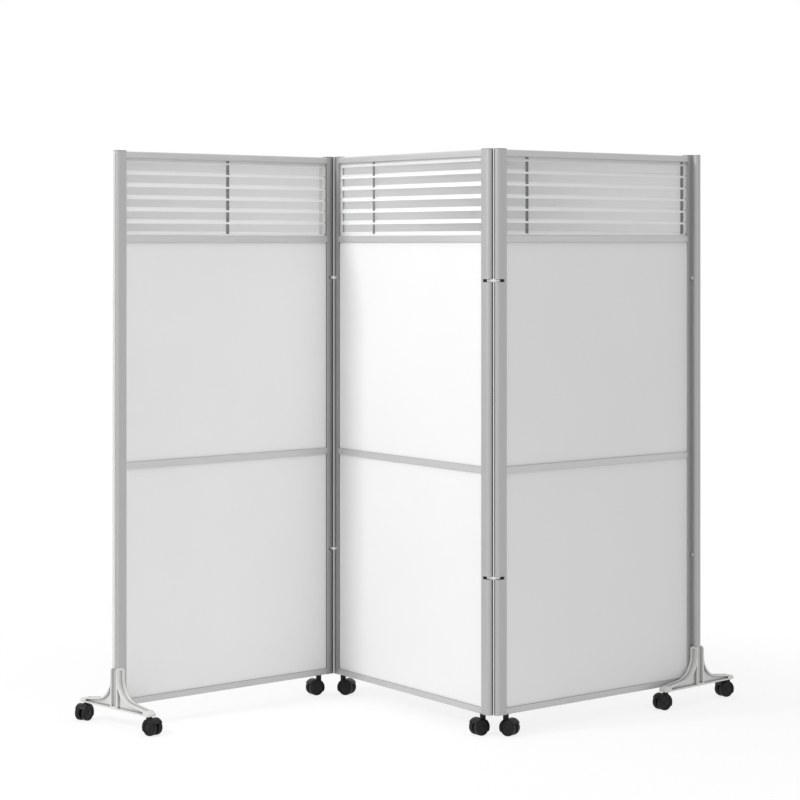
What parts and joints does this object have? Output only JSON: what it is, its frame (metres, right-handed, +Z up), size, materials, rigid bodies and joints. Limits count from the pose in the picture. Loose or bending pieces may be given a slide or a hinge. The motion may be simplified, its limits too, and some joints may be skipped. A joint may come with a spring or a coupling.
{
  "type": "partition screen",
  "caption": "Folding office partition screen: framed panels with louvred windows, strap links, castors and T feet.",
  "frame": {"origin": "on the floor, under the middle of the whole folded screen's bounding box", "axes": "+Z up; +X along the middle panel, from its back fold to its front fold; the middle panel's front faces -Y"},
  "size_m": [0.9982, 2.026, 1.8],
  "materials": {
    "frame_aluminium": "satin anodised",
    "board": "white melamine face on particle board",
    "pane": "clear in front, frosted behind",
    "slat": "white enamel",
    "tape": "woven",
    "cap": "fine grain",
    "pin": "bright turned",
    "strap": "bright satin",
    "foot": "satin cast",
    "castor_body": "moulded black",
    "castor_tread": "smooth black tread"
  },
  "bodies": {
    "left_panel": {"left_outer_post": "frame_aluminium", "left_inner_post": "frame_aluminium", "left_top_rail": "frame_aluminium", "left_bottom_rail": "frame_aluminium", "left_cross_rails": "frame_aluminium", "left_upper_board": "board", "left_lower_board": "board", "left_window_panes": "pane", "left_louvre": "slat", "left_tapes": "tape", "left_post_caps": "cap", "left_hinge_pins": "pin", "left_end_strip": "foot", "left_foot": "foot"},
    "middle_panel": {"middle_left_post": "frame_aluminium", "middle_right_post": "frame_aluminium", "middle_top_rail": "frame_aluminium", "middle_bottom_rail": "frame_aluminium", "middle_cross_rails": "frame_aluminium", "middle_upper_board": "board", "middle_lower_board": "board", "middle_window_panes": "pane", "middle_louvre": "slat", "middle_tapes": "tape", "middle_post_caps": "cap", "middle_hinge_pins": "pin"},
    "right_panel": {"right_inner_post": "frame_aluminium", "right_outer_post": "frame_aluminium", "right_top_rail": "frame_aluminium", "right_bottom_rail": "frame_aluminium", "right_cross_rails": "frame_aluminium", "right_upper_board": "board", "right_lower_board": "board", "right_window_panes": "pane", "right_louvre": "slat", "right_tapes": "tape", "right_post_caps": "cap", "right_hinge_pins": "pin"},
    "left_link": {"left_link_straps": "strap"},
    "right_link": {"right_link_straps": "strap"},
    "end_stand": {"end_link_straps": "strap", "end_post": "frame_aluminium", "right_foot": "foot"},
    "castor_1_swivel": {"castor_1_housing": "castor_body"},
    "castor_1_wheels": {"castor_1_wheels": "castor_tread"},
    "castor_2_swivel": {"castor_2_housing": "castor_body"},
    "castor_2_wheels": {"castor_2_wheels": "castor_tread"},
    "castor_3_swivel": {"castor_3_housing": "castor_body"},
    "castor_3_wheels": {"castor_3_wheels": "castor_tread"},
    "castor_4_swivel": {"castor_4_housing": "castor_body"},
    "castor_4_wheels": {"castor_4_wheels": "castor_tread"},
    "castor_5_swivel": {"castor_5_housing": "castor_body"},
    "castor_5_wheels": {"castor_5_wheels": "castor_tread"},
    "castor_6_swivel": {"castor_6_housing": "castor_body"},
    "castor_6_wheels": {"castor_6_wheels": "castor_tread"},
    "castor_7_swivel": {"castor_7_housing": "castor_body"},
    "castor_7_wheels": {"castor_7_wheels": "castor_tread"},
    "castor_8_swivel": {"castor_8_housing": "castor_body"},
    "castor_8_wheels": {"castor_8_wheels": "castor_tread"}
  },
  "joints": [
    {"name": "left_link_hinge", "type": "hinge", "parent": "middle_panel", "child": "left_link", "pos_m": [-0.43322, -0.05826, 0.9325], "axis": [0, 0, 1], "range_deg": [-109.5, 10.5]},
    {"name": "left_panel_hinge", "type": "hinge", "parent": "left_link", "child": "left_panel", "pos_m": [-0.45076, -0.07879, 0.9325], "axis": [0, 0, -1], "range_deg": [-10.5, 109.5]},
    {"name": "right_link_hinge", "type": "hinge", "parent": "middle_panel", "child": "right_link", "pos_m": [0.44178, -0.05826, 0.9325], "axis": [0, 0, 1], "range_deg": [-109, 11]},
    {"name": "right_panel_hinge", "type": "hinge", "parent": "right_link", "child": "right_panel", "pos_m": [0.45949, -0.03788, 0.9325], "axis": [0, 0, -1], "range_deg": [-11, 109]},
    {"name": "end_stand_hinge", "type": "hinge", "parent": "right_panel", "child": "end_stand", "pos_m": [0.33772, 0.82861, 0.9325], "axis": [0, 0, 1], "range_deg": [-2, 174]},
    {"name": "castor_1_swivel_turn", "type": "hinge", "parent": "left_panel", "child": "castor_1_swivel", "pos_m": [-0.47684, -0.96883, 0.055], "axis": [0, 0, 1], "continuous": true},
    {"name": "castor_1_roll", "type": "hinge", "parent": "castor_1_swivel", "child": "castor_1_wheels", "pos_m": [-0.46934, -0.98182, 0.025], "axis": [-0.866, -0.5, 0], "continuous": true},
    {"name": "castor_2_swivel_turn", "type": "hinge", "parent": "left_panel", "child": "castor_2_swivel", "pos_m": [-0.15091, -0.9172, 0.055], "axis": [0, 0, 1], "continuous": true},
    {"name": "castor_2_roll", "type": "hinge", "parent": "castor_2_swivel", "child": "castor_2_wheels", "pos_m": [-0.13656, -0.91282, 0.025], "axis": [0.2924, -0.9563, 0], "continuous": true},
    {"name": "castor_3_swivel_turn", "type": "hinge", "parent": "left_panel", "child": "castor_3_swivel", "pos_m": [-0.44293, -0.12817, 0.055], "axis": [0, 0, 1], "continuous": true},
    {"name": "castor_3_roll", "type": "hinge", "parent": "castor_3_swivel", "child": "castor_3_wheels", "pos_m": [-0.44372, -0.14315, 0.025], "axis": [-0.9986, 0.0523, 0], "continuous": true},
    {"name": "castor_4_swivel_turn", "type": "hinge", "parent": "middle_panel", "child": "castor_4_swivel", "pos_m": [-0.39972, -0.05826, 0.055], "axis": [0, 0, 1], "continuous": true},
    {"name": "castor_4_roll", "type": "hinge", "parent": "castor_4_swivel", "child": "castor_4_wheels", "pos_m": [-0.38673, -0.05076, 0.025], "axis": [0.5, -0.866, 0], "continuous": true},
    {"name": "castor_5_swivel_turn", "type": "hinge", "parent": "middle_panel", "child": "castor_5_swivel", "pos_m": [0.40828, -0.05826, 0.055], "axis": [0, 0, 1], "continuous": true},
    {"name": "castor_5_roll", "type": "hinge", "parent": "castor_5_swivel", "child": "castor_5_wheels", "pos_m": [0.40854, -0.07325, 0.025], "axis": [-0.9998, -0.0175, 0], "continuous": true},
    {"name": "castor_6_swivel_turn", "type": "hinge", "parent": "right_panel", "child": "castor_6_swivel", "pos_m": [0.45483, -0.0047, 0.055], "axis": [0, 0, 1], "continuous": true},
    {"name": "castor_6_roll", "type": "hinge", "parent": "castor_6_swivel", "child": "castor_6_wheels", "pos_m": [0.46874, 0.00091, 0.025], "axis": [0.3746, -0.9272, 0], "continuous": true},
    {"name": "castor_7_swivel_turn", "type": "hinge", "parent": "end_stand", "child": "castor_7_swivel", "pos_m": [0.3999, 0.67314, 0.055], "axis": [0, 0, 1], "continuous": true},
    {"name": "castor_7_roll", "type": "hinge", "parent": "castor_7_swivel", "child": "castor_7_wheels", "pos_m": [0.40016, 0.65814, 0.025], "axis": [-0.9998, -0.0175, 0], "continuous": true},
    {"name": "castor_8_swivel_turn", "type": "hinge", "parent": "end_stand", "child": "castor_8_swivel", "pos_m": [0.33129, 0.99593, 0.055], "axis": [0, 0, 1], "continuous": true},
    {"name": "castor_8_roll", "type": "hinge", "parent": "castor_8_swivel", "child": "castor_8_wheels", "pos_m": [0.3305, 0.98095, 0.025], "axis": [-0.9986, 0.0523, 0], "continuous": true}
  ]
}
